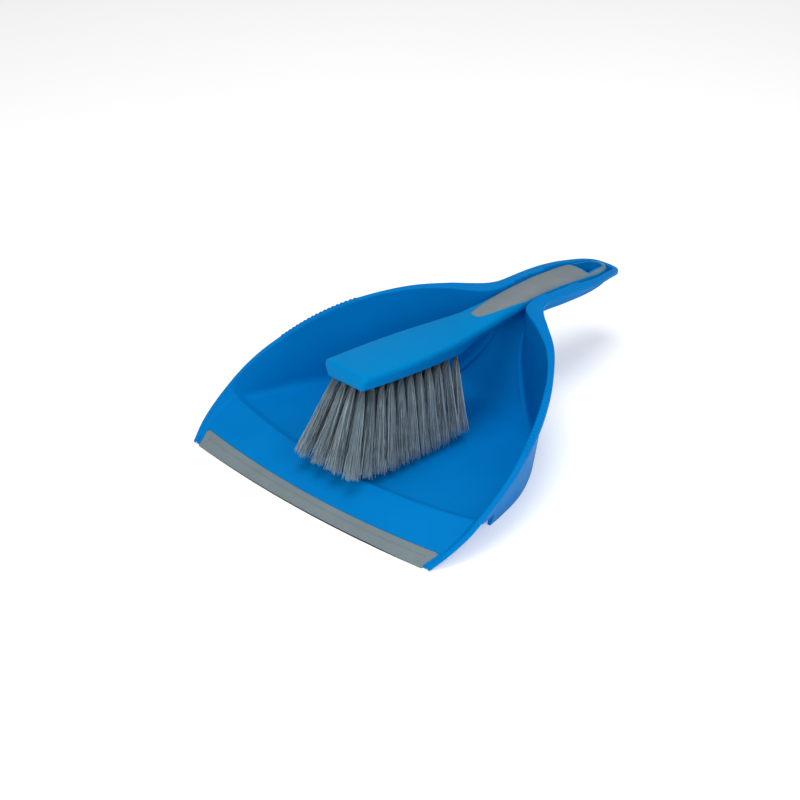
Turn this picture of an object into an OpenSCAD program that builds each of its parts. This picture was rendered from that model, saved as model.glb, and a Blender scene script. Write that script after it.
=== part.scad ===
// Dust pan with a clip-in hand brush.
// X runs across the pan, Y from the front edge to the tip of the handle, Z up.
// The origin is on the ground, under the middle of the whole set.
// The curves are drawn with y = 0 at the front corners, and placed() moves them to the origin.

/* [Pan] */
// Width of the pan over the rim
pan_w = 240; // [216:1:264]
// Length from the front corners to the end of the handle
pan_l = 321.5; // [290:0.5:353]
// Height of the rim above the ground at the back wall
pan_h = 75.5; // [70:0.5:82]
// Thickness of the moulded plastic
wall = 2.2; // [2:0.1:2.6]
// Depth of the turned-down edge of the rim
rim_band = 3.8; // [3.2:0.1:4.6]
// Comb teeth on each side of the rim
teeth = 19; // [15:1:21]
// Height of a comb tooth above the rim
tooth_h = 0.9; // [0.6:0.1:1.2]
// Depth of the hollow for the brush handle, below the rim
trough_d = 14.5; // [14:0.5:16]
// How far each clip stands in from the side of the hollow
clip_in = 1.5; // [0.8:0.1:1.5]

/* [Lip strip] */
// Width of the soft strip on the ramp
strip_w = 10.5; // [9:0.5:14]
// Thickness of the strip where it lies on the ramp
strip_t = 0.9; // [0.7:0.1:1.1]
// How far the strip stands out past the front edge
strip_nose = 1.5; // [1:0.5:2.5]

/* [Brush] */
// Tilt of the brush, head up, when it is clipped in
brush_tilt = 7.6; // [7:0.1:8]
// Width of the brush head at its front
head_w = 37.6; // [35:0.2:40]
// Thickness of the brush head
head_t = 12; // [11:0.5:13]
// Thickness of the soft grip
grip_t = 1.4; // [1:0.1:1.8]
// Rows of bristle tufts along the head
tuft_rows = 11; // [8:1:11]
// Distance between rows at the head
row_pitch = 9.2; // [8.6:0.1:9.4]
// Distance between columns at the head
column_pitch = 8.2; // [7.6:0.1:8.4]
// Diameter of a tuft hole
hole_d = 4.2; // [3.8:0.1:4.4]
// Depth of a tuft hole
hole_depth = 8; // [7:0.5:9]

/* [Hidden] */
COLUMNS = 4;
TUFTS = [for (r = [1:tuft_rows]) for (c = [1:COLUMNS]) str("tuft_", r, "_", c)];

BLUE = [0.0, 0.45, 0.78];
GREY = [0.52, 0.55, 0.57];
BRISTLE = [0.36, 0.4, 0.44];
STEEL = [0.75, 0.76, 0.78];

// How far the middle of the front edge bows forward
LIP_BOW = 6.4;
// Scale of the drawn curves, which are written for a pan of 240 by 321.5 by 75.5
KX = pan_w / 240;
KY = pan_l / 321.5;
KZ = pan_h / 75.5;

// Rim, front corner to the end of the handle: y, half width, height, inward lean of the wall, width of the flange
RIM = [
    [0, 110.5, 2.4, 4.4, 3.4],
    [13, 115.6, 9.8, 5.4, 3.4],
    [28, 118.9, 17.6, 6.2, 3.4],
    [41, 119.8, 24.8, 7.2, 3.4],
    [52, 120.0, 30.7, 9.5, 3.5],
    [64, 119.3, 36.6, 11.5, 3.7],
    [80, 116.8, 43.4, 12.5, 4.2],
    [108, 108.6, 54.5, 12.5, 5.0],
    [133, 96.6, 63.0, 12.5, 4.8],
    [155, 82.0, 68.7, 12.5, 4.6],
    [175, 65.6, 72.7, 12.5, 6.1],
    [192, 45.9, 75.2, 12.0, 8.7],
    [201, 35.6, 75.2, 12.6, 11.1],
    [210, 27.6, 74.6, 14.0, 12.6],
    [217, 24.0, 74.2, 12.8, 9.6],
    [224, 22.7, 73.8, 11.4, 8.1],
    [238, 22.7, 72.6, 11.2, 7.8],
    [252, 23.1, 71.0, 11.2, 7.7],
    [268, 23.1, 68.6, 11.2, 6.6],
    [284, 21.8, 65.9, 10.4, 5.6],
    [300, 18.3, 63.0, 8.4, 5.4],
    [308, 16.3, 61.2, 8.6, 5.0],
    [314, 14.2, 59.6, 7.8, 4.6],
    [318, 11.4, 58.6, 6.6, 4.4],
    [320.4, 7.4, 58.0, 5.4, 4.2],
    [321.5, 2.0, 57.6, 5.0, 4.0]
];

// Floor at the foot of the wall: y, height, bow forward at the centre, drop at the centre
FLOOR = [
    [-8, -1.4, LIP_BOW, 0],
    [0, 1.8, LIP_BOW, 0],
    [14, 7.6, 8.4, 1.5],
    [28, 13.4, 10.6, 3.0],
    [38, 17.7, 11.8, 4.3],
    [41.8, 18.8, 12.0, 4.6],
    [45, 17.0, 11.8, 4.6],
    [49, 14.7, 11.4, 4.5],
    [56, 13.4, 10.2, 4.3],
    [72, 11.5, 7.0, 3.8],
    [96, 8.5, 3.0, 2.8],
    [120, 5.4, 1.0, 1.4],
    [140, 3.0, 0, 0.3],
    [152, 2.2, 0, 0],
    [166, 2.2, 0, 0],
    [178, 2.6, 0, 0],
    [185, 6.0, 0, 0],
    [193, 18.0, 0, 0],
    [203, 37.0, 0, 0],
    [211, 51.5, 0, 0],
    [218, 58.4, 0, 0],
    [226, 59.4, 0, 0],
    [252, 56.5, 0, 0],
    [279, 53.8, 0, 0],
    [302, 53.2, 0, 0],
    [318, 53.4, 0, 0],
    [335, 53.6, 0, 0]
];

// Front and back of the cross rib under the floor, and the draft of its two faces
RIB = [58, 58 + wall / KY];
DRAFT = 0.2;
// Stations of the pan shell, closer together at the crest and at the neck
STATIONS = concat(
    [0, 6, 13, 20, 28, 35], [38.5, 40.5, 42, 43.5, 46, 49, 55],
    [RIB[0] - DRAFT, RIB[0], RIB[1], RIB[1] + DRAFT], [for (y = [64:9:181]) y],
    [for (y = [187:4:223]) y], [227.8, 228.2, 238, 248, 252, 256, 263.8, 264.2],
    [for (y = [272:8:312]) y], [314, 316, 318, 319.4, 320.4, 321.1, 321.5]);
FLOOR_STEPS = 5;
WALL_STEPS = 3;

// Moves the drawing so that the origin is under the middle of its length
module placed() {
    lip_front = floor_point(0, 0)[1] - strip_nose;
    translate([0, -(pan_l + lip_front) / 2, 0]) children();
}

// ---- curves ----

function row_below(t, x, i = 0) = i >= len(t) - 2 || x < t[i + 1][0] ? i : row_below(t, x, i + 1);

function slope_at(t, i, k) =
    let (a = max(i - 1, 0), b = min(i + 1, len(t) - 1))
    (t[b][k] - t[a][k]) / (t[b][0] - t[a][0]);

// Smooth curve through column k of a table whose first column is x
function curve(t, x, k) =
    let (
        i = row_below(t, x),
        h = t[i + 1][0] - t[i][0],
        s = min(max((x - t[i][0]) / h, 0), 1),
        m0 = slope_at(t, i, k) * h,
        m1 = slope_at(t, i + 1, k) * h,
        d = t[i + 1][k] - t[i][k]
    )
    t[i][k] + s * m0 + s * s * (3 * d - 2 * m0 - m1) + s * s * s * (m0 + m1 - 2 * d);

function quad(p, c, q, s) = (1 - s) * (1 - s) * p + 2 * s * (1 - s) * c + s * s * q;

// ---- pan shell ----

// A clip swells from 0 at a to 1 near b, where it ends in a step
function swell(y, a, b) = y < a || y > b ? 0 : sin(90 * min((y - a) / (b - a) * 1.6, 1));
CLIPS = [[212, 228], [249, 264]];
function clip_swell(y) = max([for (c = CLIPS) swell(y / KY, c[0], c[1])]);

function rim_x(y) = KX * curve(RIM, y / KY, 1);
function rim_z(y) = KZ * curve(RIM, y / KY, 2);
function lean(y) = curve(RIM, y / KY, 3);
function flange(y) = curve(RIM, y / KY, 4) + clip_in * clip_swell(y);
// Outward direction of the rim in plan
function outward(y) =
    let (g = rim_x(y + 0.5) - rim_x(y - 0.5))
    [1, -g] / norm([1, -g]);
function foot(y) = [rim_x(y), y] - lean(y) * outward(y);
function floor_z(y) = KZ * curve(FLOOR, y / KY, 1) - (trough_d - 14.5) * min(max(y / KY - 190, 0) / 25, 1);

// A point of the pan floor at the fraction s of the way from the centre to the foot of the wall
function floor_point(y, s, lift = 0) =
    let (f = foot(y), bulge = 1 - s * s)
    [s * f[0], f[1] - KY * curve(FLOOR, f[1] / KY, 2) * bulge,
        floor_z(f[1]) - KZ * curve(FLOOR, f[1] / KY, 3) * bulge + lift];

// Vertical thickness that keeps the wall thickness on a sloping floor
function floor_drop(y) =
    let (g = floor_z(foot(y)[1] + 1) - floor_z(foot(y)[1] - 1))
    wall * min(sqrt(1 + g * g / 4), 2.6);

function at_rim(y, a, z) =
    let (p = [rim_x(y), y] + a * outward(y))
    [p[0], p[1], z];

// Right half of a section: pairs of [upper point, lower point] from the centre out to the rim
function half_section(y) =
    let (
        fz = floor_z(foot(y)[1]),
        rz = rim_z(y),
        ln = lean(y),
        fl = min(flange(y), ln - 0.3),
        round_r = min(4, 0.4 * (rz - fz), 0.3 * foot(y)[0]),
        round_out = y / KY > 190 ? 0.6 * round_r : 0,
        drop = min(floor_drop(y), 2.6 * wall),
        under = max(fz - drop, 0),
        corner = foot(y)[0],
        last = (corner - round_r) / corner,
        e = min(rim_band * (y / KY < 70 ? 0.62 + 0.38 * y / KY / 70 : 1), 0.8 * rz),
        shelf = rz - min(2.6, 0.6 * e),
        top_a = -fl,
        top_z = rz - min(1.1, 0.3 * e),
        out_top = min(-fl + wall, -1.7),
        out_low = -ln + wall,
        low_end = under + wall + round_out,
        foot_in = [-ln - round_r, fz],
        foot_up = [-ln + (ln - fl) * round_r / (rz - fz), fz + round_r]
    )
    concat(
        [for (i = [0:FLOOR_STEPS])
            let (
                p = floor_point(y, last * i / FLOOR_STEPS),
                in_rib = i < FLOOR_STEPS && y >= RIB[0] * KY && y <= RIB[1] * KY
            )
            [p, [p[0], p[1], in_rib ? 0 : max(p[2] - drop, 0)]]],
        [for (s = [0.35, 0.7])
            let (
                q = quad(foot_in, [-ln, fz], foot_up, s),
                o = quad([-ln - round_out, under], [out_low, under], [out_low, low_end], s)
            )
            [at_rim(y, q[0], q[1]), at_rim(y, o[0], o[1])]],
        [for (i = [0:WALL_STEPS - 1])
            let (s = i / WALL_STEPS)
            [at_rim(y, foot_up[0] + (top_a - foot_up[0]) * s, foot_up[1] + (top_z - foot_up[1]) * s),
                at_rim(y, out_low + (out_top - out_low) * s, low_end + (shelf - low_end) * s)]],
        [
            [at_rim(y, top_a, top_z), at_rim(y, out_top, shelf)],
            [at_rim(y, top_a + 0.8, rz - 0.25), at_rim(y, out_top * 0.7 - 1.6 * 0.3, shelf)],
            [at_rim(y, top_a * 0.5, rz), at_rim(y, -1.6, shelf)],
            [at_rim(y, -0.7, rz - 0.2), at_rim(y, -1.6, shelf - 0.1)],
            [at_rim(y, 0, rz - min(1.2, 0.3 * e)), at_rim(y, -1.5, (shelf + rz - e) / 2)],
            [at_rim(y, 0, rz - e), at_rim(y, -1.4, rz - e)]
        ]
    );

function flip(p) = [-p[0], p[1], p[2]];
function full_section(half) =
    concat([for (i = [len(half) - 1:-1:1]) [for (p = half[i]) flip(p)]], half);

// Closed solid between the upper and lower points of a list of sections of pairs
module sheet_solid(sections) {
    n = len(sections);
    m = len(sections[0]);
    points = [for (s = sections) for (pair = s) for (p = pair) p];
    function u(i, j) = 2 * (i * m + j);
    function l(i, j) = u(i, j) + 1;
    function two(a, b, c, d) = [[a, b, c], [a, c, d]];
    faces = concat(
        [for (i = [0:n - 2]) for (j = [0:m - 2]) each two(u(i, j), u(i + 1, j), u(i + 1, j + 1), u(i, j + 1))],
        [for (i = [0:n - 2]) for (j = [0:m - 2]) each two(l(i, j), l(i, j + 1), l(i + 1, j + 1), l(i + 1, j))],
        [for (i = [0:n - 2]) each two(u(i, 0), l(i, 0), l(i + 1, 0), u(i + 1, 0))],
        [for (i = [0:n - 2]) each two(u(i, m - 1), u(i + 1, m - 1), l(i + 1, m - 1), l(i, m - 1))],
        [for (j = [0:m - 2]) each two(u(0, j), u(0, j + 1), l(0, j + 1), l(0, j))],
        [for (j = [0:m - 2]) each two(u(n - 1, j), l(n - 1, j), l(n - 1, j + 1), u(n - 1, j + 1))]
    );
    polyhedron(points, faces, convexity = 8);
}

module pan_shell() {
    sheet_solid([for (y = STATIONS) full_section(half_section(y * KY))]);
}

// ---- end wall of the handle, which joins the two ends of the rim ----

END_HALF = 3.2;
module end_wall() {
    half = half_section(pan_l);
    far = len(half) - 1;
    outline = concat(
        [for (i = [FLOOR_STEPS - 1:far]) half[i][0]],
        [for (i = [far:-1:FLOOR_STEPS - 1]) half[i][1]]
    );
    translate([-END_HALF, -0.1, -0.05]) rotate([90, 0, 90]) linear_extrude(2 * END_HALF)
        polygon([for (p = outline) [p[1], p[2]]]);
}

// ---- foot skirt below the floor ----

SKIRT_FRONT = 66;
SKIRT_BACK = 162;
function skirt_section(y) =
    let (
        fz = floor_z(foot(y)[1]),
        k = (lean(y) - flange(y)) / (rim_z(y) - fz),
        out_top = -lean(y) + wall - 0.05,
        out_low = out_top - k * (fz - wall)
    )
    [[at_rim(y, out_top - wall, fz - 1), at_rim(y, out_low - wall, 0)],
        [at_rim(y, out_top, fz - 1), at_rim(y, out_low, 0)]];

module skirt_side() {
    sheet_solid([for (y = [SKIRT_FRONT:8:SKIRT_BACK]) skirt_section(y * KY)]);
}

module skirt() {
    skirt_side();
    mirror([1, 0, 0]) skirt_side();
}

// ---- comb teeth ----

TEETH_FRONT = 90.5;
TEETH_BACK = 141.5;
module comb_tooth(y) {
    inner = at_rim(y, -flange(y) + 0.4, rim_z(y) - 0.2);
    turn = atan2(outward(y)[1], outward(y)[0]);
    bar = flange(y) - 0.5;
    translate(inner) rotate([0, 90, turn]) hull() {
        cylinder(r = tooth_h * 0.8, h = bar, $fn = 6);
        translate([0, 0, 0.6]) cylinder(r = tooth_h + 0.2, h = bar - 1.2, $fn = 6);
    }
}

module comb() {
    for (i = [0:teeth - 1])
        comb_tooth(KY * (TEETH_FRONT + (TEETH_BACK - TEETH_FRONT) * i / (teeth - 1)));
}

// ---- lip strip ----

STRIP_STEPS = 14;
// Upper and lower points of the strip across the front, at the station y
function strip_section(y, lift) =
    let (gap = 1.5)
    [for (i = [-STRIP_STEPS:STRIP_STEPS])
        let (
            s = i / STRIP_STEPS * (1 - gap / foot(max(y, 0))[0]),
            q = floor_point(max(y, 0), abs(s)),
            p = [sign(s) * q[0], q[1] + min(y, 0), q[2]],
            nose = y < 0 ? -y / strip_nose : 0
        )
        [[p[0], p[1], p[2] - 0.7 * nose + lift], [p[0], p[1], y < 0 ? 0.15 : p[2] - strip_t]]];

STRIP_STATIONS = concat([-strip_nose], [0], [for (y = [3:3:strip_w]) y], [strip_w]);

module strip_cutter() {
    sheet_solid(concat([strip_section(-0.01, 3)],
        [for (i = [1:len(STRIP_STATIONS) - 1]) strip_section(STRIP_STATIONS[i], 3)]));
}

module pan_body() {
    color(BLUE) placed() difference() {
        union() {
            pan_shell();
            end_wall();
            skirt();
            comb();
            mirror([1, 0, 0]) comb();
        }
        strip_cutter();
    }
}

module lip_strip() {
    color(GREY) placed() sheet_solid([for (y = STRIP_STATIONS) strip_section(y, 0)]);
}

// ---- brush, drawn level with the underside of its head at z = 0 ----

BRUSH_FRONT = 38;
BRUSH_Z = 76;
module in_place() {
    placed() translate([0, BRUSH_FRONT * KY, BRUSH_Z * KZ]) rotate([-brush_tilt, 0, 0]) children();
}

// Brush body: y, half width, top at the centre, crown, bottom, half width of the bottom, overhang of the top
BODY = [
    [-0.6, 15.4, 9.8, 0.4, 2.6, 13.6, 0.9],
    [0.0, 17.2, 11.3, 0.5, 0.9, 14.8, 0.9],
    [1.6, 18.5, 12.0, 0.6, 0.0, 15.6, 0.6],
    [6, 18.9, 12.1, 0.7, 0.0, 16.1, 0.2],
    [30, 20.0, 12.2, 0.9, 0.0, 17.2, 0],
    [60, 20.0, 12.8, 1.2, 0.0, 17.4, 0],
    [85, 18.7, 13.6, 1.6, 0.0, 16.4, 0],
    [99, 17.4, 14.2, 1.9, 0.0, 15.2, 0],
    [104, 16.8, 14.5, 2.0, 0.5, 14.4, 0],
    [112, 15.8, 15.0, 2.2, 1.8, 12.8, 0],
    [128, 14.0, 16.2, 2.6, 3.6, 10.6, 0],
    [156, 12.2, 20.4, 3.4, 6.4, 8.4, 0],
    [180, 12.0, 23.8, 3.8, 9.0, 8.0, 0],
    [205, 12.5, 25.6, 3.8, 10.8, 8.4, 0],
    [222, 12.9, 25.8, 3.8, 12.0, 8.7, 0],
    [241, 13.1, 25.3, 3.6, 12.7, 8.8, 0],
    [254, 12.4, 24.2, 3.2, 13.2, 8.4, 0],
    [262, 10.9, 23.5, 2.6, 14.4, 7.4, 0],
    [269, 8.4, 22.8, 1.8, 15.4, 5.6, 0],
    [273, 5.8, 22.0, 1.2, 15.6, 3.9, 0],
    [275.6, 3.2, 20.8, 0.7, 15.7, 2.2, 0],
    [276.6, 1.2, 19.6, 0.3, 16.4, 0.9, 0]
];
BODY_STATIONS = concat([-0.6, 0, 0.7, 1.6, 3.4, 6], [for (y = [14:10:94]) y], [99, 104, 109],
    [for (y = [116:8:260]) y], [265, 269, 271, 273, 274.5, 275.6, 276.2, 276.6]);
ACROSS = [0, 0.2, 0.4, 0.6, 0.78, 0.9];

function body(y, k) = curve(BODY, y, k);
function wide(y) = body(y, 1) * head_w / 37.6;
function top_z(y, s) = body(y, 2) * (y < 100 ? head_t / 12 : 1) - body(y, 3) * pow(abs(s), 2.4);

// Right half of a brush section: pairs of [upper point, lower point]
function brush_half(y) =
    let (
        w = wide(y),
        wb = body(y, 5) * head_w / 37.6,
        zb = max(body(y, 4), 0),
        zt = top_z(y, 1),
        edge = min(2.4, 0.3 * (zt - zb)),
        back = body(y, 6),
        level = function (z) -back * z / 12
    )
    concat(
        [for (s = ACROSS)
            [[s * w, y + level(top_z(y, s)), top_z(y, s) - (s > 0.85 ? 0.35 * edge : 0)], [s * wb, y, zb]]],
        [[[w * 0.975, y + level(zt), zt - 0.85 * edge], [wb * 0.96, y, zb]],
            [[w, y + level(zt), zt - 1.7 * edge], [wb, y, zb + 0.5 * edge]]]
    );

module brush_solid() {
    sheet_solid([for (y = BODY_STATIONS) full_section(brush_half(y))]);
}

// ---- soft grip ----

// Half width of the grip as a fraction of the handle's half width
GRIP_FRONT = 128;
function grip_share(y) = min(0.9, 0.2 + 0.7 * pow(max(y - GRIP_FRONT, 0) / 44, 0.65));
GRIP_STATIONS = concat([128, 129, 131, 134, 138], [for (y = [144:8:264]) y], [268, 271, 273.5, 275.3]);
GRIP_ACROSS = [-1, -0.8, -0.55, -0.3, 0, 0.3, 0.55, 0.8, 1];

function grip_section(y, lift) =
    [for (a = GRIP_ACROSS)
        let (s = a * grip_share(y), z = top_z(y, s) - (abs(s) > 0.85 ? 0.35 * 2.4 * (abs(s) - 0.85) / 0.05 : 0))
        [[s * wide(y), y, z + lift], [s * wide(y), y, z - grip_t]]];

module grip_sheet(lift) {
    sheet_solid([for (y = GRIP_STATIONS) grip_section(y, lift)]);
}

// ---- hanging loop ----

LOOP_FRONT = 244.1;
LOOP_END = 269.3;
module loop_hole() {
    translate([0, 0, 5]) linear_extrude(25) hull() {
        for (x = [-1, 1]) translate([x * 6.6, LOOP_FRONT + 2.2]) circle(r = 2.2, $fn = 32);
        translate([0, LOOP_END - 6.4]) circle(r = 6.4, $fn = 48);
    }
}

// ---- tufts ----

FIRST_ROW = 5;
PLUG = 6.2;
NECK = 2.4;
function tuft_y(r) = FIRST_ROW + row_pitch * (r - 1);
function tuft_x(c) = column_pitch * (c - (COLUMNS + 1) / 2);
// Where a tuft ends, in the brush's own frame
TIPS = [
    [1, -11.0, -58.5],
    [3, 12.5, -60.0],
    [5, 35.0, -59.5],
    [7, 56.0, -59.0],
    [9, 76.0, -57.0],
    [11, 94.0, -54.0]
];
function tuft_tip(r, c) =
    let (side = tuft_x(c) / tuft_x(COLUMNS))
    [side * (22.5 + 4.5 * sin(min((r - 1) * 30, 90))), curve(TIPS, r, 1), curve(TIPS, r, 2) + 1.5 * abs(side)];
TIP_R = 4.7;

module holes() {
    for (r = [1:tuft_rows]) for (c = [1:COLUMNS])
        translate([tuft_x(c), tuft_y(r), -1]) cylinder(d = hole_d, h = hole_depth + 1, $fn = 48);
}

module tuft(r, c) {
    start = [tuft_x(c), tuft_y(r), -NECK];
    run = tuft_tip(r, c) - start;
    color(BRISTLE) in_place() {
        translate(start) cylinder(d = hole_d, h = PLUG + NECK, $fn = 48);
        translate(start) sphere(d = hole_d, $fn = 48);
        translate(start) rotate([0, acos(run[2] / norm(run)), atan2(run[1], run[0])])
            cylinder(r1 = hole_d / 2 * 0.95, r2 = TIP_R, h = norm(run), $fn = 48);
    }
}

module tuft_anchors() {
    color(STEEL) in_place()
        for (r = [1:tuft_rows]) for (c = [1:COLUMNS])
            translate([tuft_x(c) - 1.9, tuft_y(r) - 0.4, PLUG]) cube([3.8, 0.8, hole_depth - PLUG]);
}

module brush_body() {
    color(BLUE) in_place() difference() {
        brush_solid();
        grip_sheet(4);
        loop_hole();
        holes();
    }
}

module soft_grip() {
    color(GREY) in_place() difference() {
        grip_sheet(0);
        loop_hole();
    }
}

pan_body();
lip_strip();
brush_body();
soft_grip();
tuft_anchors();
for (r = [1:tuft_rows]) for (c = [1:COLUMNS])
    tuft(r, c);
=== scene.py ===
"""Dust pan with a clip-in hand brush: the looks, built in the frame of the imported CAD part.

Shapes are drawn in millimetres with y = 0 at the front corners of the pan, as in the CAD
source, and placed() turns them into metres in the row frame.
"""

import math
import random

import bmesh
import bpy
from mathutils import Matrix, Vector


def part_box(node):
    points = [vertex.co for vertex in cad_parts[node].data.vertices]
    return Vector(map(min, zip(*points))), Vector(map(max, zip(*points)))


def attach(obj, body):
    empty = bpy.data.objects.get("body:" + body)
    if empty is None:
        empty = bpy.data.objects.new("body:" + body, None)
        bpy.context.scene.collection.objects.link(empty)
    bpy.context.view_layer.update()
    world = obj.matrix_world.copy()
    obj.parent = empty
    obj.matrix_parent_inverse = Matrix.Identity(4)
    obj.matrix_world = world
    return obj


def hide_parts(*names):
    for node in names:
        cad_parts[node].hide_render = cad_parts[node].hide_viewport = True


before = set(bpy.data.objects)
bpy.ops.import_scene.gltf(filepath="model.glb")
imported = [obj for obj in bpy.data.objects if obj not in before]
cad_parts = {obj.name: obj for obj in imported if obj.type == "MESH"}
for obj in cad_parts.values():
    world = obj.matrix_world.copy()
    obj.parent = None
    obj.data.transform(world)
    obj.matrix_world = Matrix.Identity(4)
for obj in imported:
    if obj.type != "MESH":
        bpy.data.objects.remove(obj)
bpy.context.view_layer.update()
MM = 0.001

# ---- driving sizes, in millimetres, as in the CAD source ----

WALL = 2.2
RIM_BAND = 3.8
TEETH = 19
TOOTH_H = 0.9
TEETH_FRONT, TEETH_BACK = 90.5, 141.5
CLIPS = ((212, 228), (249, 264))
CLIP_IN = 1.5
PAN_END = 321.5
RIB = (58.0, 60.2)
END_HALF = 3.2
FLOOR_STEPS = 30
SKIRT = (66.0, 162.0)
STRIP_W, STRIP_T, STRIP_NOSE, STRIP_END = 10.5, 0.9, 1.5, 1.5
# Seam of the strip: how far it lies behind the front edge, and how deep it is along the strip and at its ends
GROOVE_Y, GROOVE_DEPTH, END_GROOVE_DEPTH = 5.0, 0.42, 0.45
SEAM = 0.12
# Radians from one strand of a tuft to the next, which spreads them evenly
GOLDEN_ANGLE = 2.39996
# The camera stands this far in front of the front corners of the pan, in metres
CAMERA_Y = -0.7297

# Rim, front corner to the end of the handle:
# y, half width, height, inward lean of the wall, width of the flange
RIM = (
    (0, 110.5, 2.4, 4.4, 3.4),
    (13, 115.6, 9.8, 5.4, 3.4),
    (28, 118.9, 17.6, 6.2, 3.4),
    (41, 119.8, 24.8, 7.2, 3.4),
    (52, 120.0, 30.7, 9.5, 3.5),
    (64, 119.3, 36.6, 11.5, 3.7),
    (80, 116.8, 43.4, 12.5, 4.2),
    (108, 108.6, 54.5, 12.5, 5.0),
    (133, 96.6, 63.0, 12.5, 4.8),
    (155, 82.0, 68.7, 12.5, 4.6),
    (175, 65.6, 72.7, 12.5, 6.1),
    (192, 45.9, 75.2, 12.0, 8.7),
    (201, 35.6, 75.2, 12.6, 11.1),
    (210, 27.6, 74.6, 14.0, 12.6),
    (217, 24.0, 74.2, 12.8, 9.6),
    (224, 22.7, 73.8, 11.4, 8.1),
    (238, 22.7, 72.6, 11.2, 7.8),
    (252, 23.1, 71.0, 11.2, 7.7),
    (268, 23.1, 68.6, 11.2, 6.6),
    (284, 21.8, 65.9, 10.4, 5.6),
    (300, 18.3, 63.0, 8.4, 5.4),
    (308, 16.3, 61.2, 8.6, 5.0),
    (314, 14.2, 59.6, 7.8, 4.6),
    (318, 11.4, 58.6, 6.6, 4.4),
    (320.4, 7.4, 58.0, 5.4, 4.2),
    (321.5, 2.0, 57.6, 5.0, 4.0),
)

# Floor at the foot of the wall: y, height, bow forward at the centre, drop at the centre
FLOOR = (
    (-8, -1.4, 6.4, 0),
    (0, 1.8, 6.4, 0),
    (14, 7.6, 8.4, 1.5),
    (28, 13.4, 10.6, 3.0),
    (38, 17.7, 11.8, 4.3),
    (41.8, 18.8, 12.0, 4.6),
    (45, 17.0, 11.8, 4.6),
    (49, 14.7, 11.4, 4.5),
    (56, 13.4, 10.2, 4.3),
    (72, 11.5, 7.0, 3.8),
    (96, 8.5, 3.0, 2.8),
    (120, 5.4, 1.0, 1.4),
    (140, 3.0, 0, 0.3),
    (152, 2.2, 0, 0),
    (166, 2.2, 0, 0),
    (178, 2.6, 0, 0),
    (185, 6.0, 0, 0),
    (193, 18.0, 0, 0),
    (203, 37.0, 0, 0),
    (211, 51.5, 0, 0),
    (218, 58.4, 0, 0),
    (226, 59.4, 0, 0),
    (252, 56.5, 0, 0),
    (279, 53.8, 0, 0),
    (302, 53.2, 0, 0),
    (318, 53.4, 0, 0),
    (335, 53.6, 0, 0),
)

# Brush body: y, half width, top, crown, bottom, half width of the bottom, overhang of the top
BODY = (
    (-0.6, 15.4, 9.8, 0.4, 2.6, 13.6, 0.9),
    (0.0, 17.2, 11.3, 0.5, 0.9, 14.8, 0.9),
    (1.6, 18.5, 12.0, 0.6, 0.0, 15.6, 0.6),
    (6, 18.9, 12.1, 0.7, 0.0, 16.1, 0.2),
    (30, 20.0, 12.2, 0.9, 0.0, 17.2, 0),
    (60, 20.0, 12.8, 1.2, 0.0, 17.4, 0),
    (85, 18.7, 13.6, 1.6, 0.0, 16.4, 0),
    (99, 17.4, 14.2, 1.9, 0.0, 15.2, 0),
    (104, 16.8, 14.5, 2.0, 0.5, 14.4, 0),
    (112, 15.8, 15.0, 2.2, 1.8, 12.8, 0),
    (128, 14.0, 16.2, 2.6, 3.6, 10.6, 0),
    (156, 12.2, 20.4, 3.4, 6.4, 8.4, 0),
    (180, 12.0, 23.8, 3.8, 9.0, 8.0, 0),
    (205, 12.5, 25.6, 3.8, 10.8, 8.4, 0),
    (222, 12.9, 25.8, 3.8, 12.0, 8.7, 0),
    (241, 13.1, 25.3, 3.6, 12.7, 8.8, 0),
    (254, 12.4, 24.2, 3.2, 13.2, 8.4, 0),
    (262, 10.9, 23.5, 2.6, 14.4, 7.4, 0),
    (269, 8.4, 22.8, 1.8, 15.4, 5.6, 0),
    (273, 5.8, 22.0, 1.2, 15.6, 3.9, 0),
    (275.6, 3.2, 20.8, 0.7, 15.7, 2.2, 0),
    (276.6, 1.2, 19.6, 0.3, 16.4, 0.9, 0),
)
BRUSH_FRONT, BRUSH_Z, BRUSH_TILT = 38.0, 76.0, 7.6
GRIP_FRONT, GRIP_END, GRIP_T = 128.0, 275.3, 1.4
LOOP_FRONT, LOOP_END, LOOP_HALF = 244.1, 269.3, 8.8
LOOP_CORNER, LOOP_ROUND = 2.2, 6.4
# Width of the ring of hard plastic left round the hanging hole
RING = 1.5

ROWS, COLUMNS = 11, 4
FIRST_ROW, ROW_PITCH, COLUMN_PITCH = 5.0, 9.2, 8.2
HOLE_D, HOLE_DEPTH, PLUG, NECK = 4.2, 8.0, 6.2, 2.4
# Where the tufts end: row, y, z
TIPS = (
    (1, -11.0, -58.5),
    (3, 12.5, -60.0),
    (5, 35.0, -59.5),
    (7, 56.0, -59.0),
    (9, 76.0, -57.0),
    (11, 94.0, -54.0),
)
TIP_R = 5.1
STRANDS = 150
STRAND_R = 0.2


# ---- curves and placing ----

def curve(table, x, k):
    """Smooth curve through column k of a table whose first column is x."""
    i = 0
    while i < len(table) - 2 and x >= table[i + 1][0]:
        i += 1
    h = table[i + 1][0] - table[i][0]
    s = min(max((x - table[i][0]) / h, 0.0), 1.0)

    def slope(j):
        a, b = max(j - 1, 0), min(j + 1, len(table) - 1)
        return (table[b][k] - table[a][k]) / (table[b][0] - table[a][0])

    m0, m1 = slope(i) * h, slope(i + 1) * h
    d = table[i + 1][k] - table[i][k]
    return table[i][k] + s * m0 + s * s * (3 * d - 2 * m0 - m1) + s ** 3 * (m0 + m1 - 2 * d)


def mix(a, b, s):
    return a + (b - a) * s


def quad(p, c, q, s):
    return (1 - s) ** 2 * p + 2 * s * (1 - s) * c + s * s * q


def smooth(x, a, b):
    s = min(max((x - a) / (b - a), 0.0), 1.0)
    return s * s * (3 - 2 * s)


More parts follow.
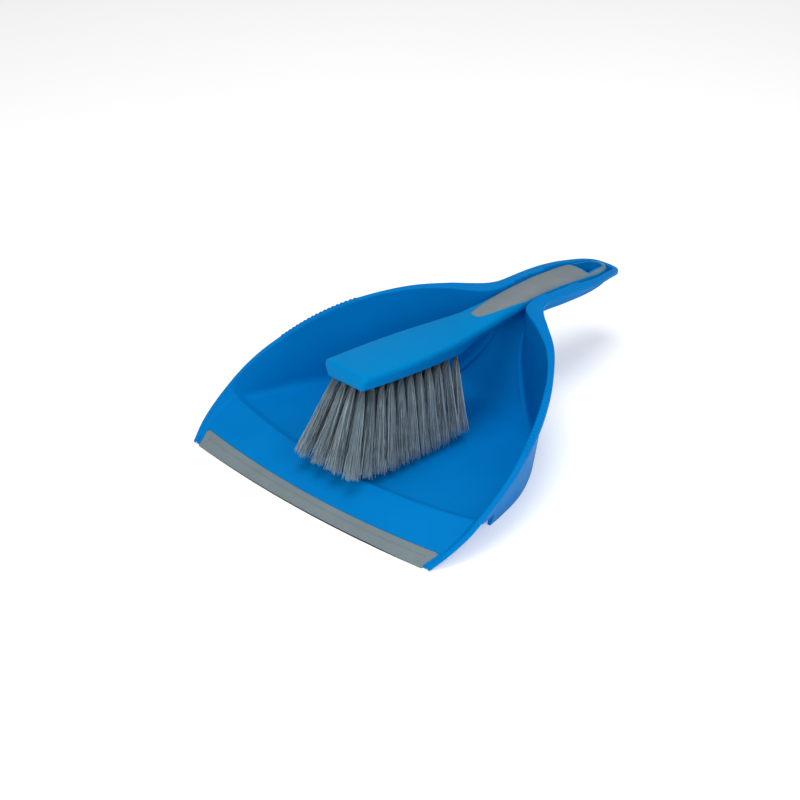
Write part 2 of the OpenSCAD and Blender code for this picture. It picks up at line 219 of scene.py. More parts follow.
def span(a, b, n):
    return [mix(a, b, i / n) for i in range(n + 1)]


# The drawing's y of the row frame's origin, from the CAD node that holds the end of the handle
ORIGIN_Y = PAN_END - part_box("pan_body")[1].y / MM


def placed(p):
    return Vector((p[0], p[1] - ORIGIN_Y, p[2])) * MM


TILT = Matrix.Rotation(math.radians(-BRUSH_TILT), 3, "X")


def in_brush(p):
    """A point of the brush, drawn level with the underside of its head at z = 0."""
    return placed(TILT @ Vector(p) + Vector((0, BRUSH_FRONT, BRUSH_Z)))


# ---- mesh helpers ----

def new_piece(name, verts, faces, sharp=40):
    mesh = bpy.data.meshes.new(name)
    mesh.from_pydata([tuple(v) for v in verts], [], faces)
    mesh.validate()
    tidy_mesh(mesh, sharp)
    piece = bpy.data.objects.new(name, mesh)
    bpy.context.scene.collection.objects.link(piece)
    return piece


def tidy_mesh(mesh, sharp):
    bm = bmesh.new()
    bm.from_mesh(mesh)
    bmesh.ops.remove_doubles(bm, verts=bm.verts, dist=1e-7)
    bmesh.ops.dissolve_degenerate(bm, edges=bm.edges, dist=1e-7)
    bmesh.ops.recalc_face_normals(bm, faces=bm.faces)
    bm.to_mesh(mesh)
    bm.free()
    mesh.shade_smooth()
    mesh.set_sharp_from_angle(angle=math.radians(sharp))


def loop_solid(rings, place):
    """Verts and faces of a closed solid lofted through rings of equal length."""
    m = len(rings[0])
    verts = [place(p) for ring in rings for p in ring]
    faces = []
    for i in range(len(rings) - 1):
        for j in range(m):
            a, b = i * m + j, i * m + (j + 1) % m
            faces.append((a, b, b + m, a + m))
    faces += [tuple(range(m - 1, -1, -1)), tuple(range((len(rings) - 1) * m, len(rings) * m))]
    return verts, faces


def add_part(verts, faces, more_verts, more_faces):
    start = len(verts)
    verts.extend(more_verts)
    faces.extend(tuple(start + k for k in f) for f in more_faces)


def cut(piece, cutters, sharp=40):
    """Takes the cutters away from the piece and leaves a plain mesh."""
    for cutter in cutters:
        tool = piece.modifiers.new("cut", "BOOLEAN")
        tool.operation = "DIFFERENCE"
        tool.solver = "EXACT"
        tool.object = cutter
    graph = bpy.context.evaluated_depsgraph_get()
    mesh = bpy.data.meshes.new_from_object(piece.evaluated_get(graph))
    piece.modifiers.clear()
    piece.data = mesh
    tidy_mesh(mesh, sharp)
    for cutter in cutters:
        bpy.data.objects.remove(cutter)


# ---- pan shell ----

def swell(y, a, b):
    return 0.0 if y < a or y > b else math.sin(math.radians(90 * min((y - a) / (b - a) * 1.6, 1)))


def rim_x(y):
    return curve(RIM, y, 1)


def rim_z(y):
    return curve(RIM, y, 2)


def lean(y):
    return curve(RIM, y, 3)


def flange(y):
    return curve(RIM, y, 4) + CLIP_IN * max(swell(y, a, b) for a, b in CLIPS)


def outward(y):
    g = rim_x(y + 0.5) - rim_x(y - 0.5)
    n = math.hypot(1, g)
    return 1 / n, -g / n


def foot(y):
    ox, oy = outward(y)
    return rim_x(y) - lean(y) * ox, y - lean(y) * oy


def floor_z(y):
    return curve(FLOOR, y, 1)


def floor_point(y, s, lift=0.0):
    """A point of the pan floor at the share s of the way from the centre to the foot of the wall."""
    fx, fy = foot(y)
    bulge = 1 - s * s
    return (s * fx, fy - curve(FLOOR, fy, 2) * bulge, floor_z(fy) - curve(FLOOR, fy, 3) * bulge + lift)


def floor_drop(y):
    fy = foot(y)[1]
    g = floor_z(fy + 1) - floor_z(fy - 1)
    return WALL * min(math.sqrt(1 + g * g / 4), 2.6)


def tooth(y):
    """Height of the comb at y, from 0 between the teeth to 1 on them."""
    if not TEETH_FRONT - 2 < y < TEETH_BACK + 2:
        return 0.0
    pitch = (TEETH_BACK - TEETH_FRONT) / (TEETH - 1)
    nearest = min(max(round((y - TEETH_FRONT) / pitch), 0), TEETH - 1)
    off = abs(y - TEETH_FRONT - nearest * pitch) / (0.36 * pitch)
    return math.sqrt(1 - off * off) if off < 1 else 0.0


def shell_half(y):
    """Right half of a section of the pan: its top, its outer side and its underside."""
    fx, fy = foot(y)
    ox, oy = outward(y)
    fz, rz, ln = floor_z(fy), rim_z(y), lean(y)
    fl = min(flange(y), ln - 0.3)
    band = min(RIM_BAND * (0.62 + 0.38 * y / 70 if y < 70 else 1), 0.8 * rz)
    shelf = rz - min(2.6, 0.6 * band)
    soft = 3 * smooth(y, 60, 110) * (1 - smooth(y, 170, 190))
    bend = min(4 + soft, 0.4 * (rz - fz), 0.3 * fx)
    last = (fx - bend) / fx
    drop = floor_drop(y)
    under = max(fz - drop, 0)
    in_strip = y <= STRIP_W + SEAM
    in_rib = RIB[0] <= y <= RIB[1]
    in_skirt = SKIRT[0] <= y <= SKIRT[1]

    def rim(a, z):
        return (rim_x(y) + a * ox, y + a * oy, z)

    # Floor, with the recess of the strip near the front
    edge = 1 - (STRIP_END - SEAM) / fx
    inner = min(edge, last)
    shares = span(0, inner - 0.003, FLOOR_STEPS) + [inner, last]
    top, low = [], []
    for n, s in enumerate(shares):
        p = floor_point(y, s)
        sunk = STRIP_T if in_strip and n <= FLOOR_STEPS else 0
        top.append((p[0], p[1], p[2] - sunk))
        low.append((p[0], p[1], 0 if in_rib and s < 0.8 else max(p[2] - drop, 0)))

    # Foot of the wall, the wall, and the rounded rim
    inner_r = min(1.5, 0.35 * band, 0.4 * fl)
    outer_r = min(1.3, 0.35 * band, 0.4 * fl)
    lift = tooth(y)
    wall_top = (-fl, rz - inner_r)
    foot_up = (-ln + (ln - fl) * bend / (rz - fz), fz + bend)
    for s in span(0, 1, 8)[1:]:
        top.append(rim(quad(-ln - bend, -ln, foot_up[0], s), quad(fz, fz, foot_up[1], s)))
    for s in span(0, 1, 12)[1:-1]:
        top.append(rim(mix(foot_up[0], wall_top[0], s), mix(foot_up[1], wall_top[1], s)))
    proud = TOOTH_H * lift
    for turn in span(0, 90, 6):
        c, n = math.cos(math.radians(turn)), math.sin(math.radians(turn))
        top.append(rim(-fl + inner_r - (inner_r + 0.35 * proud) * c,
                       rz - inner_r + (inner_r + proud) * n))
    for s in span(0, 1, 6)[1:]:
        fade = 1 - smooth(s, 0.5, 1.0) * 0.15
        top.append(rim(mix(-fl + inner_r, -outer_r, s), rz - 0.16 * s + proud * fade))
    for turn in span(90, 0, 6)[1:]:
        c, n = math.cos(math.radians(turn)), math.sin(math.radians(turn))
        top.append(rim(-outer_r + outer_r * c, rz - 0.16 - outer_r + outer_r * n + 0.85 * proud * n))
    low_r = min(0.6, 0.2 * band)
    top += [rim(0, mix(rz - outer_r, rz - band + low_r, s)) for s in (0.33, 0.66, 1.0)]
    for turn in span(0, 90, 4)[1:]:
        c, n = math.cos(math.radians(turn)), math.sin(math.radians(turn))
        top.append(rim(-low_r + low_r * c, rz - band + low_r - low_r * n))

    # Underside: inside of the band, the outer wall, the skirt or a corner, and back under the floor
    out_top = min(-curve(RIM, y, 4) + WALL, -1.7)
    out_low = -ln + WALL
    round_out = 0.6 * bend if y > 190 else 0
    low_end = under + WALL + round_out
    back = [rim(-1.35, rz - band), rim(-1.5, (shelf + rz - band) / 2), rim(-1.6, shelf - 0.2),
            rim(mix(-1.6, out_top, 0.5), shelf)]
    for s in span(0, 1, 10):
        back.append(rim(mix(out_top, out_low, s), mix(shelf, low_end, s)))
    if in_skirt:
        slope = (ln - fl) / (rz - fz)
        base = out_low - slope * (under + WALL)
        for s in span(0, 1, 3)[1:]:
            back.append(rim(mix(out_low, base, s), mix(under + WALL, 0.3, s)))
        back += [rim(base - 0.3, 0), rim(base - WALL + 0.3, 0), rim(base - WALL, 0.3),
                 rim(base - WALL, 0.5 * under + 0.15), rim(-ln, under)]
    else:
        for s in span(0, 1, 8)[1:]:
            back.append(rim(quad(out_low, out_low, -ln - round_out, s), quad(low_end, under, under, s)))
    return top, back, low


def shell_ring(y):
    """One closed section of the pan: right half of the top and underside, then mirrored."""
    top, back, low = shell_half(y)
    half = top + back + low[::-1]
    left = [(-p[0], p[1], p[2]) for p in half[len(half) - 2:0:-1]]
    return half + left


def end_wall():
    """The wall that joins the two ends of the rim at the far end of the handle."""
    top, back, low = shell_half(PAN_END)
    section = top[FLOOR_STEPS:] + back + low[:FLOOR_STEPS - 1:-1]
    rings = [[(x, p[1] - 0.02, p[2]) for p in section] for x in (-END_HALF, 0, END_HALF)]
    return loop_solid(rings, placed)


def pan_stations():
    marks = [STRIP_W + SEAM, STRIP_W + SEAM + 0.04, RIB[0] - 0.2, RIB[0], RIB[1], RIB[1] + 0.2,
             SKIRT[0] - 0.25, SKIRT[0], SKIRT[1], SKIRT[1] + 0.25]
    marks += [edge for a, b in CLIPS for edge in (b - 0.15, b + 0.15)]
    ys = span(0, 10, 10) + span(10, 38, 14) + span(38, 52, 28) + span(52, 89, 16)
    ys += span(89, 143, 152) + span(143, 180, 16) + span(180, 232, 44) + span(232, 312, 40)
    ys += span(312, 319, 14) + span(319, PAN_END, 20)
    ys = [y for y in ys if all(abs(y - m) > 0.12 for m in marks)]
    return sorted(set(ys + marks))


def pan_shell():
    verts, faces = loop_solid([shell_ring(y) for y in pan_stations()], placed)
    add_part(verts, faces, *end_wall())
    piece = new_piece("pan_shell", verts, faces, 50)
    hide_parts("pan_body")
    return piece


# ---- lip strip ----

def strip_ring(y):
    """A section of the strip along its length, at the depth y behind the front edge."""
    nose = max(-y, 0) / STRIP_NOSE
    at = max(y, 0)
    fx = foot(at)[0]
    end = 1 - STRIP_END / fx
    top, low = [], []
    right = span(0, 0.91, 70)[:-1] + span(0.91, 1, 50)
    for share in [-k for k in right[:0:-1]] + right:
        s = end * share
        side = (end - abs(s)) * fx
        p = floor_point(at, abs(s))
        x, z = math.copysign(p[0], s) if s else 0.0, p[2]
        ahead = 1 - smooth(y, GROOVE_Y - 0.2, GROOVE_Y + 0.4)
        groove = GROOVE_DEPTH * math.exp(-((y - GROOVE_Y) / 0.32) ** 2) * smooth(side, 4.5, 5.2)
        groove += END_GROOVE_DEPTH * math.exp(-((side - 5.4) / 0.4) ** 2) * ahead
        groove += 0.6 * (1 - smooth(side, 1.6, 2.2)) * smooth(y, STRIP_W - 1.7, STRIP_W - 1.3)
        tab = 0.15 * (1 - smooth(side, 4.6, 5.6)) * ahead
        round_end = 0.3 * (1 - min(side / 0.4, 1)) ** 2
        round_back = 0.25 * max(0.0, (y - STRIP_W + 0.35) / 0.35) ** 2
        lower = nose ** 2 * 0.75 + (0.06 if y < 0 else 0)
        top.append((x, p[1] + min(y, 0), z - groove - tab - round_end - round_back - lower))
        low.append((x, p[1] + min(y, 0), 0.15 if y < 0 else z - STRIP_T))
    return top + low[::-1]


def lip():
    ys = [-STRIP_NOSE, -1.4, -1.2, -0.9, -0.6, -0.3, 0] + span(0, STRIP_W, 42)[1:] + [STRIP_W - 0.1]
    ys = sorted(set(ys))
    verts, faces = loop_solid([strip_ring(y) for y in ys], placed)
    piece = new_piece("lip", verts, faces, 45)
    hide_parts("lip_strip")
    return piece


# ---- brush block and grip ----

def body(y, k):
    return curve(BODY, y, k)


def top_z(y, s):
    return body(y, 2) - body(y, 3) * abs(s) ** 2.4


def block_ring(y):
    """A closed section of the brush block, rounded along its upper edges."""
    w, zb, wb, over = body(y, 1), max(body(y, 4), 0), body(y, 5), body(y, 6)
    zt = top_z(y, 1)
    edge = min(2.4, 0.3 * (zt - zb))
    soft = min(0.7, 0.15 * (zt - zb))

    def at(x, z):
        return (x, y - over * z / 12, z)

    half = [at(s * w, top_z(y, s)) for s in span(0, 1 - edge / w, 14)]
    x0, z0 = half[-1][0], half[-1][2]
    for s in span(0, 1, 8)[1:]:
        half.append(at(quad(x0, w, w, s), quad(z0, zt, zt - 1.6 * edge, s)))
    half += [at(mix(w, wb, s), mix(zt - 1.6 * edge, zb + soft, s)) for s in span(0, 1, 6)[1:]]
    half += [at(quad(wb, wb, wb - soft, s), quad(zb + soft, zb, zb, s)) for s in span(0, 1, 4)[1:]]
    half += [at((wb - soft) * s, zb) for s in (0.8, 0.6, 0.4, 0.2, 0)]
    left = [(-p[0], p[1], p[2]) for p in half[len(half) - 2:0:-1]]
    return half + left


def grip_share(y):
    return min(0.9, 0.2 + 0.7 * (max(y - GRIP_FRONT, 0) / 44) ** 0.65)


def grip_ring(y, lift, depth, grow):
    """A section of the grip, or with grow of the recess that holds it."""
    inside = min(max(y, GRIP_FRONT + 0.01), GRIP_END)
    share = grip_share(inside) + grow / body(inside, 1)
    round_front = min(1.0, math.sqrt(max(y - GRIP_FRONT + grow, 0) / 1.2))
    share *= mix(0.35, 1, round_front)
    top, low = [], []
    for a in span(-1, 1, 28):
        s = a * share
        z = top_z(y, s)
        drop = max(abs(s) - (1 - 2.4 / body(y, 1)), 0) * 3.6
        edge = 0.22 * (1 - min((1 - abs(a)) * body(y, 1) * share / 0.5, 1)) ** 2
        edge *= 0 if lift > 1 else 1
        x = s * body(y, 1)
        top.append((x, y, z - drop + lift - edge))
        low.append((x, y, z - drop - depth))
    return top + low[::-1]


def grip_solid(lift, depth, grow, ends):
    ys = [GRIP_FRONT - grow, 128.3, 128.7, 129.3, 130] + span(131, 272, 104) + [273, 274, 274.8]
    ys.append(GRIP_END + ends)
    return loop_solid([grip_ring(y, lift, depth, grow) for y in ys], in_brush)


def loop_outline(grow, steps=10):
    """Outline of the hanging hole in plan: straight in front, tapering to a round far end."""
    corner, end = LOOP_CORNER + grow, LOOP_ROUND + grow
    side, front = LOOP_HALF - LOOP_CORNER, LOOP_FRONT + LOOP_CORNER
    near = [(side, front, corner), (0, LOOP_END - LOOP_ROUND, end), (-side, front, corner)]
    reach = near[1][1] - near[0][1]
    tilt = math.atan2(near[0][0], reach) - math.asin((corner - end) / math.hypot(near[0][0], reach))
    sweeps = ((-math.pi / 2, tilt), (tilt, math.pi - tilt), (math.pi - tilt, 1.5 * math.pi))
    points = []
    for (x, y, r), (a, b) in zip(near, sweeps):
        points += [(x + r * math.cos(t), y + r * math.sin(t)) for t in span(a, b, steps)]
    return points


def loop_cutter(name, grow):
    rings = [[(x, y, z) for x, y in loop_outline(grow)] for z in (5.0, 34.0)]
    return new_piece(name, *loop_solid(rings, in_brush))


def tuft_y(row):
    return FIRST_ROW + ROW_PITCH * (row - 1)


def tuft_x(column):
    return COLUMN_PITCH * (column - (COLUMNS + 1) / 2)


def socket_cutter():
    verts, faces = [], []
    for row in range(1, ROWS + 1):
        for column in range(1, COLUMNS + 1):
            ring = [(tuft_x(column) + HOLE_D / 2 * math.cos(t), tuft_y(row) + HOLE_D / 2 * math.sin(t))
                    for t in span(0, 2 * math.pi, 20)[:-1]]
            rings = [[(x, y, z) for x, y in ring] for z in (-1.0, HOLE_DEPTH)]
            add_part(verts, faces, *loop_solid(rings, in_brush))
    return new_piece("sockets", verts, faces)


def brush_block():
    ys = [-0.6, -0.45, -0.25, 0, 0.3, 0.7, 1.1, 1.6, 2.4, 3.4, 4.6, 6] + span(8, 96, 30) + span(98, 112, 14)
    ys += span(114, 264, 88) + [265, 266.5, 268, 269.5, 271, 272, 273, 274, 274.8]
    ys += [275.4, 275.9, 276.3, 276.6]
    verts, faces = loop_solid([block_ring(y) for y in sorted(set(ys))], in_brush)
    block = new_piece("brush_block", verts, faces)
    recess = new_piece("recess", *grip_solid(5.0, GRIP_T, SEAM, 0.3))
    cut(recess, [loop_cutter("ring_hole", RING)])
    cut(block, [recess, loop_cutter("hole", 0.0), socket_cutter()], 35)
    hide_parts("brush_body")
    return block


def grip():
    piece = new_piece("grip", *grip_solid(0.05, GRIP_T - 0.02, 0.0, 0.0))
    cut(piece, [loop_cutter("grip_hole", RING + SEAM)], 35)
    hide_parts("soft_grip")
    return piece


def gate_mark():
    """The small round mark of the mould's gate near the front of the grip."""
    y, r = GRIP_FRONT + 6.5, 1.25
    base = top_z(y, 0) + 0.02
    rings = []
    rim_profile = [(r, -0.3), (r, 0.07), (r - 0.12, 0.12), (r - 0.3, 0.12), (r - 0.42, 0.05)]
    pip_profile = [(0.5, 0.04), (0.42, 0.16), (0.12, 0.18)]
    for radius, z in rim_profile + pip_profile:
        rings.append([(radius * math.cos(t), y + radius * math.sin(t), base + z + 0.14 * radius * math.sin(t))
                      for t in span(0, 2 * math.pi, 28)[:-1]])
    piece = new_piece("gate_mark", *loop_solid(rings, in_brush))
    return piece


# ---- bristles ----

def tuft_tip(row, column):
    side = tuft_x(column) / tuft_x(COLUMNS)
    spread = 22.5 + 4.5 * math.sin(math.radians(min((row - 1) * 30, 90)))
    return Vector((side * spread, curve(TIPS, row, 1), curve(TIPS, row, 2) + 1.5 * abs(side)))


def strand(verts, faces, shades, points, radius, shade, sides=4):
    """A thin tapered tube along the points, darkened at the root by painted shade and lighter at the tip."""
    start = len(verts)
    turn = random.uniform(0, math.pi)
    for k, p in enumerate(points):
        s = k / (len(points) - 1)
        r = radius * (1 - 0.3 * s)
        ahead = (points[min(k + 1, len(points) - 1)] - points[max(k - 1, 0)]).normalized()
        u = ahead.cross(Vector((0.3, 1, 0))).normalized()
        v = ahead.cross(u)
        for j in range(sides):
            t = turn + 2 * math.pi * j / sides
            verts.append(in_brush(p + (u * math.cos(t) + v * math.sin(t)) * r))
            shades.append((shade, s))
    for k in range(len(points) - 1):
        for j in range(sides):
            a, b = start + k * sides + j, start + k * sides + (j + 1) % sides
            faces.append((a, b, b + sides, a + sides))
    faces.append(tuple(start + j for j in range(sides - 1, -1, -1)))
    end = start + (len(points) - 1) * sides
    faces.append(tuple(end + j for j in range(sides)))


def tuft(row, column):
    """One bundle of crimped strands, tight in its socket and splayed at its tips."""
    random.seed(100 * row + column)
    root = Vector((tuft_x(column), tuft_y(row), PLUG - 0.3))
    neck = Vector((tuft_x(column), tuft_y(row), -NECK))
    tip = tuft_tip(row, column)
    axis = (tip - neck).normalized()
    side = axis.cross(Vector((0, 1, 0))).normalized()
    front = axis.cross(side)
    reach = (tip - neck).length
    verts, faces, shades = [], [], []
    for n in range(STRANDS):
        r = math.sqrt((n + 0.5) / STRANDS)
        turn = n * GOLDEN_ANGLE + random.uniform(-0.3, 0.3)
        x, y = r * math.cos(turn), r * math.sin(turn)
        splay = TIP_R * (0.92 + random.gauss(0, 0.16))
        length = reach * (1.004 + random.gauss(0, 0.018) - 0.012 * r * r)
        if random.random() < 0.15:
            length *= random.uniform(0.84, 0.97)
        crimp = random.uniform(0.15, 0.5)
        phase, waves = random.uniform(0, 6.3), random.uniform(2.5, 5.0)
        lean_x, lean_y = random.gauss(0, 1.1), random.gauss(0, 1.1)
        socket = HOLE_D / 2 - STRAND_R - 0.05
        points = [root + Vector((x, y, 0)) * socket, neck + Vector((x, y, 1.6)) * socket * 0.98]
        points[1].z = -NECK + 1.6
        steps = 9
        for k in range(1, steps + 1):
            s = k / steps
            wide = mix(socket, splay, s ** 0.8)
            wave = crimp * math.sin(waves * 2 * math.pi * s + phase) * s ** 0.5
            across = x * wide + wave + lean_x * s ** 3
            along = y * wide + 0.6 * wave + lean_y * s ** 3
            offset = side * across + front * along
            points.append(neck + axis * (length * s) + offset)
        strand(verts, faces, shades, points, STRAND_R * random.uniform(0.85, 1.1), random.random())
    mesh = bpy.data.meshes.new(f"bristles_{row}_{column}")
    mesh.from_pydata([tuple(v) for v in verts], [], faces)
    tint = mesh.attributes.new("strand", "FLOAT_COLOR", "POINT")
    tint.data.foreach_set("color", [c for shade, s in shades for c in (shade, s, 0.0, 1.0)])
    mesh.shade_smooth()
    piece = bpy.data.objects.new(mesh.name, mesh)
    bpy.context.scene.collection.objects.link(piece)
    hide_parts(f"tuft_{row}_{column}")
    return piece


# ---- materials ----

def srgb(r, g, b):
    """Linear colour of an sRGB triple given from 0 to 255."""
    def linear(c):
        c /= 255
        return c / 12.92 if c <= 0.04045 else ((c + 0.055) / 1.055) ** 2.4
    return linear(r), linear(g), linear(b), 1.0


class Nodes:
    """Short calls for building a node tree."""

    def __init__(self, name):
        self.material = bpy.data.materials.new(name)
        self.material.use_nodes = True
        self.tree = self.material.node_tree
        self.shader = self.tree.nodes["Principled BSDF"]

    def add(self, kind, **settings):
        node = self.tree.nodes.new(kind)
        for key, value in settings.items():
            if key in node.inputs:
                node.inputs[key].default_value = value
            else:
                setattr(node, key, value)
        return node

    def join(self, a, b):
        self.tree.links.new(a, b)

    def place(self, scale=(1, 1, 1)):
        """Object coordinates in millimetres, stretched by scale."""
        where = self.add("ShaderNodeTexCoord")
        size = self.add("ShaderNodeMapping")
        size.inputs["Scale"].default_value = [1000 * s for s in scale]
        self.join(where.outputs["Object"], size.inputs["Vector"])
        return size.outputs["Vector"]

    def noise(self, where, scale, detail=3.0, rough=0.55, distortion=0.0):
        node = self.add("ShaderNodeTexNoise")
        node.inputs["Scale"].default_value = scale
        node.inputs["Detail"].default_value = detail
        node.inputs["Roughness"].default_value = rough
        node.inputs["Distortion"].default_value = distortion
        self.join(where, node.inputs["Vector"])
        return node.outputs["Fac"]

    def span(self, value, a, b, c, d):
        """Maps a..b of the value to c..d."""
        node = self.add("ShaderNodeMapRange")
        for key, number in zip(("From Min", "From Max", "To Min", "To Max"), (a, b, c, d)):
            node.inputs[key].default_value = number
        self.join(value, node.inputs["Value"])
        return node.outputs["Result"]

    def math(self, kind, a, b):
        node = self.add("ShaderNodeMath", operation=kind)
        for socket, value in zip(node.inputs, (a, b)):
            if isinstance(value, (int, float)):
                socket.default_value = value
            else:
                self.join(value, socket)
        return node.outputs["Value"]

    def blend(self, factor, a, b, kind="MIX"):
        node = self.add("ShaderNodeMix", data_type="RGBA", blend_type=kind)
        if isinstance(factor, (int, float)):
            node.inputs[0].default_value = factor
        else:
            self.join(factor, node.inputs[0])
        for socket, value in zip((node.inputs[6], node.inputs[7]), (a, b)):
            if isinstance(value, tuple):
                socket.default_value = value
            else:
                self.join(value, socket)
        return node.outputs[2]

    def edge_bend(self, radius):
        """How far the surface bends within the radius: 0 on flats, rising along sharp edges."""
        soft = self.add("ShaderNodeBevel", samples=6)
        soft.inputs["Radius"].default_value = radius
        flat = self.add("ShaderNodeNewGeometry")
        dot = self.add("ShaderNodeVectorMath", operation="DOT_PRODUCT")
        self.join(soft.outputs["Normal"], dot.inputs[0])
        self.join(flat.outputs["Normal"], dot.inputs[1])
        return self.span(dot.outputs["Value"], 0.995, 0.8, 0.0, 1.0), soft.outputs["Normal"]

    def bump(self, height, strength, distance, normal=None):
        node = self.add("ShaderNodeBump")
        node.inputs["Strength"].default_value = strength
        node.inputs["Distance"].default_value = distance
        self.join(height, node.inputs["Height"])
        if normal is not None:
            self.join(normal, node.inputs["Normal"])
        return node.outputs["Normal"]


def blue_plastic(name, base, light, flow_marks):
    """Satin polypropylene: faint clouding, fine mould grain, a painted highlight along the edges, and flow
    marks on the pan.
    """
    n = Nodes(name)
    where = n.place()
    cloud = n.noise(where, 0.018, 3, 0.5, 0.3)
    mottle = n.noise(where, 0.35, 4, 0.6)
    tone = n.blend(n.span(cloud, 0.3, 0.7, 0.0, 1.0), base, light)
    edges, soft_normal = n.edge_bend(0.0006)
    # Painted highlight: a lighter cyan along sharp edges, such as the bright line along the rim's bead.
    tone = n.blend(n.math("MULTIPLY", edges, 0.6), tone, srgb(0, 156, 228))
    speck = n.noise(n.place(), 0.9, 1, 0.4)
    dust = n.span(speck, 0.80, 0.84, 0.0, 0.45)
    tone = n.blend(dust, tone, srgb(4, 70, 120))
    if flow_marks:
        streak = n.noise(n.place((0.22, 0.02, 0.22)), 1.0, 4, 0.6, 1.2)
        patch = n.noise(where, 0.022, 2, 0.5, 0.6)
        mask = n.math("MULTIPLY", n.span(streak, 0.52, 0.72, 0.0, 1.0), n.span(patch, 0.5, 0.68, 0.0, 1.0))
        tone = n.blend(n.math("MULTIPLY", mask, 0.22), tone, srgb(20, 134, 206))
    n.join(tone, n.shader.inputs["Base Color"])
    smear = n.noise(where, 0.06, 4, 0.6, 0.8)
    n.join(n.span(smear, 0.3, 0.75, 0.40, 0.54), n.shader.inputs["Roughness"])
    fine = n.noise(where, 3.2, 3, 0.6)
    wavy = n.noise(where, 0.05, 2, 0.5)
    first = n.bump(wavy, 0.25, 0.0006, soft_normal)
    n.join(n.bump(n.math("ADD", fine, n.math("MULTIPLY", mottle, 0.6)), 0.22, 0.00012, first),
           n.shader.inputs["Normal"])
    n.shader.inputs["IOR"].default_value = 1.46
    n.shader.inputs["Specular IOR Level"].default_value = 0.05
    n.shader.inputs["Specular Tint"].default_value = (0.3, 0.75, 1.0, 1.0)
    return n.material


def grey_rubber(name, base, light, fine_scale):
    """Matt soft plastic with a fine even grain, slight smudges and paler edges."""
    n = Nodes(name)
    where = n.place()
    cloud = n.noise(where, 0.05, 4, 0.6, 0.4)
    grain = n.noise(where, fine_scale, 3, 0.65)
    tone = n.blend(n.span(cloud, 0.3, 0.7, 0.0, 1.0), base, light)
    tone = n.blend(n.span(grain, 0.35, 0.65, 0.0, 0.16), tone, srgb(92, 100, 104))
    edges, soft_normal = n.edge_bend(0.0004)
    tone = n.blend(n.math("MULTIPLY", edges, 0.3), tone, srgb(158, 166, 168))
    n.join(tone, n.shader.inputs["Base Color"])
    n.join(n.span(n.noise(where, 0.11, 3, 0.6), 0.3, 0.7, 0.58, 0.74), n.shader.inputs["Roughness"])
    n.join(n.bump(grain, 0.3, 0.00015, soft_normal), n.shader.inputs["Normal"])
    n.shader.inputs["Specular IOR Level"].default_value = 0.2
    return n.material


def bristle_fibre():
    """Grey crimped fibre: each strand has its own grey, darkened at the root by painted shade and paler at
    the tip.
    """
    n = Nodes("bristle_fibre")
    strand_data = n.add("ShaderNodeAttribute", attribute_name="strand")
    parts = n.add("ShaderNodeSeparateColor")
    n.join(strand_data.outputs["Color"], parts.inputs["Color"])
    own, along = parts.outputs["Red"], parts.outputs["Green"]
    ramp = n.add("ShaderNodeValToRGB")
    ramp.color_ramp.elements[0].color = srgb(50, 68, 82)
    ramp.color_ramp.elements[1].color = srgb(206, 220, 226)
    for at, colour in ((0.35, srgb(98, 120, 132)), (0.75, srgb(142, 164, 174))):
        ramp.color_ramp.elements.new(at).color = colour
    n.join(own, ramp.inputs["Fac"])
    mottle = n.noise(n.place((1, 1, 0.25)), 0.8, 3, 0.6)
    tone = n.blend(n.span(mottle, 0.35, 0.7, 0.0, 0.3), ramp.outputs["Color"], srgb(150, 160, 170))
    # Painted shade: the strands darken near the root, where the brush block and the tufts around them shade
    # them.
    tone = n.blend(n.span(along, 0.08, 0.32, 0.85, 0.0), tone, srgb(22, 32, 42))
    tone = n.blend(n.span(along, 0.82, 1.0, 0.0, 0.55), tone, srgb(176, 194, 202))
    n.join(tone, n.shader.inputs["Base Color"])
    n.join(n.span(mottle, 0.3, 0.7, 0.38, 0.6), n.shader.inputs["Roughness"])
    n.join(n.bump(n.noise(n.place((1, 1, 0.1)), 4.0, 2), 0.2, 0.0001), n.shader.inputs["Normal"])
    return n.material


def staple_wire():
    """Drawn steel flat with fine scratches."""
    n = Nodes("staple_steel")
    where = n.place((1, 6, 1))
    scratch = n.noise(where, 1.4, 4, 0.7)
    n.join(n.blend(n.span(scratch, 0.3, 0.7, 0.0, 1.0), (0.42, 0.43, 0.45, 1), (0.62, 0.63, 0.65, 1)),
           n.shader.inputs["Base Color"])
    n.join(n.span(scratch, 0.3, 0.7, 0.22, 0.42), n.shader.inputs["Roughness"])
    n.join(n.bump(scratch, 0.2, 0.00005), n.shader.inputs["Normal"])
    n.shader.inputs["Metallic"].default_value = 1.0
    return n.material


# ---- build ----

def dress(piece, body_name, material):
    piece.data.materials.clear()
    piece.data.materials.append(material)
    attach(piece, body_name)


pan_blue = blue_plastic("pan_blue", srgb(0, 120, 196), srgb(0, 126, 202), True)
brush_blue = blue_plastic("brush_blue", srgb(0, 130, 198), srgb(0, 134, 203), False)
strip_grey = grey_rubber("strip_grey", srgb(118, 134, 140), srgb(126, 141, 146), 2.6)
grip_grey = grey_rubber("grip_grey", srgb(122, 133, 139), srgb(130, 140, 145), 1.8)
fibre = bristle_fibre()

dress(pan_shell(), "pan", pan_blue)
dress(lip(), "pan", strip_grey)
dress(brush_block(), "brush", brush_blue)
dress(grip(), "brush", grip_grey)
dress(gate_mark(), "brush", grip_grey)
for row in range(1, ROWS + 1):
    for column in range(1, COLUMNS + 1):
        dress(tuft(row, column), "brush", fibre)

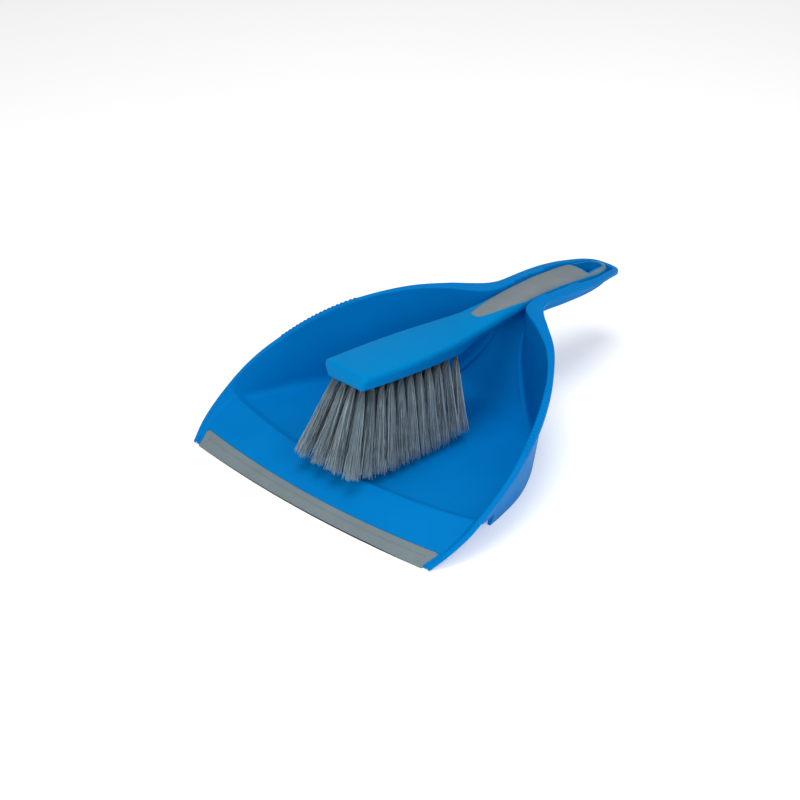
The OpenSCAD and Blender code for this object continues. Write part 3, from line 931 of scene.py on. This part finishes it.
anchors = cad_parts["tuft_anchors"]
anchors.data.materials.clear()
anchors.data.materials.append(staple_wire())


# ---- floor, light and camera ----

def floor_plane():
    size = 6.0
    mesh = bpy.data.meshes.new("floor")
    corners = [(-size, -size, 0), (size, -size, 0), (size, size, 0), (-size, size, 0)]
    mesh.from_pydata(corners, [], [(0, 1, 2, 3)])
    floor = bpy.data.objects.new("floor", mesh)
    bpy.context.scene.collection.objects.link(floor)
    n = Nodes("studio_floor")
    n.join(n.blend(n.noise(n.place(), 0.004, 2), (0.93, 0.93, 0.93, 1), (0.96, 0.96, 0.96, 1)),
           n.shader.inputs["Base Color"])
    n.shader.inputs["Roughness"].default_value = 0.9
    n.shader.inputs["Emission Color"].default_value = (1, 1, 1, 1)
    n.shader.inputs["Emission Strength"].default_value = 0.3
    floor.data.materials.append(n.material)


def area_light(name, at, size, power, aim=(0, 0, 0.03)):
    data = bpy.data.lights.new(name, "AREA")
    data.shape = "DISK"
    data.size = size
    data.energy = power
    light = bpy.data.objects.new(name, data)
    light.location = at
    light.rotation_euler = (Vector(aim) - Vector(at)).to_track_quat("-Z", "Y").to_euler()
    bpy.context.scene.collection.objects.link(light)


floor_plane()
area_light("overhead", (-0.1, 0.05, 1.5), 0.9, 10)
area_light("side", (1.15, -0.2, 1.0), 1.0, 5.5)
area_light("front", (0.6, -1.3, 0.9), 1.2, 8)

world = bpy.data.worlds.new("studio")
world.use_nodes = True
world.node_tree.nodes["Background"].inputs["Color"].default_value = (1, 1, 1, 1)
world.node_tree.nodes["Background"].inputs["Strength"].default_value = 0.28
bpy.context.scene.world = world

camera = bpy.data.objects.new("camera", bpy.data.cameras.new("camera"))
camera.location = (0.7659, CAMERA_Y - ORIGIN_Y * MM, 0.7271)
camera.rotation_euler = (math.radians(90 - 31.47), 0, math.radians(43))
camera.data.lens = 86.97
camera.data.sensor_width = 36
bpy.context.scene.collection.objects.link(camera)
bpy.context.scene.camera = camera
bpy.context.scene.view_settings.view_transform = "Standard"
